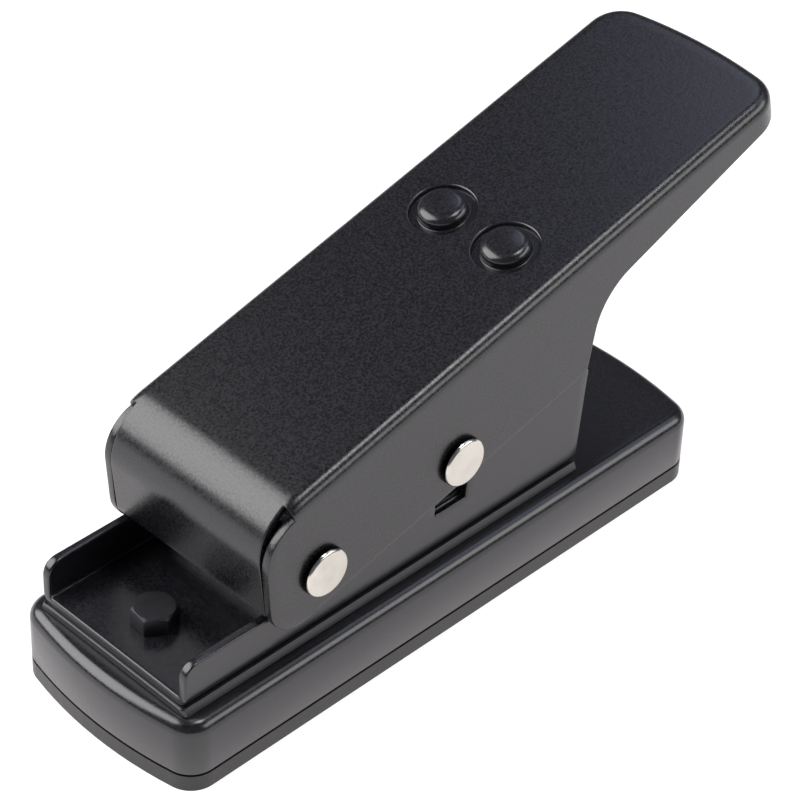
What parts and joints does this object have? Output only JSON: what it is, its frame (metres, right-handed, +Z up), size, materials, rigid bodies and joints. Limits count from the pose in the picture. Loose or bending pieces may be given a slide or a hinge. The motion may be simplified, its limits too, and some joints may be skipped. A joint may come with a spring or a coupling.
{
  "type": "guitar pick punch",
  "caption": "Hand lever punch on a low base: a sprung lever drives a pick-shaped punch through a die to cut picks from a strip of sheet plastic fed in at the front.",
  "frame": {"origin": "on the table, under the middle of the whole length with the lever at rest", "axes": "+X from the feed tray to the handle, +Y to the left of someone looking along +X, +Z up"},
  "size_m": [0.1394, 0.042, 0.074],
  "materials": {
    "black_paint": "satin black baked paint",
    "black_moulding": "fine-textured black moulding",
    "black_oxide": "black oxide",
    "ground_steel": "ground tool steel",
    "zinc_plate": "bright zinc plate",
    "spring_steel": "drawn spring wire",
    "bright_nickel": "bright nickel plate"
  },
  "bodies": {
    "root": {"base_shell": "black_paint", "bottom_cover": "black_moulding", "cover_screws": "black_oxide", "bed_plate": "black_paint", "frame": "black_paint", "frame_bolt": "black_oxide", "frame_bolt_washer": "zinc_plate", "frame_bolt_nut": "zinc_plate", "die_plate": "ground_steel", "strip_guide": "ground_steel", "stripper_plate": "ground_steel", "guide_posts": "ground_steel", "die_screws": "black_oxide", "die_nuts": "zinc_plate", "spring_pegs": "zinc_plate", "return_spring_left": "spring_steel", "return_spring_right": "spring_steel", "pivot_rivet": "bright_nickel", "pivot_sleeve": "zinc_plate", "pivot_washers": "zinc_plate"},
    "lever": {"lever": "black_paint", "drive_pin": "bright_nickel", "drive_washers": "zinc_plate"},
    "punch": {"punch": "ground_steel", "punch_head": "ground_steel", "punch_screws": "black_oxide"}
  },
  "joints": [
    {"name": "lever_hinge", "type": "hinge", "parent": "root", "child": "lever", "pos_m": [-0.03817, 0, 0.0295], "axis": [0, 1, 0], "range_deg": [0, 14.1], "stiffness_Nm_per_rad": 19, "springref_deg": -5.16, "deforming": ["return_spring_left", "return_spring_right"]},
    {"name": "punch_slide", "type": "slide", "parent": "root", "child": "punch", "axis": [0, 0, -1], "range_m": [0, 0.0076]}
  ],
  "couplings": [
    {"joint": "punch_slide", "follows": "lever_hinge", "m_per_rad": 0.030883}
  ]
}
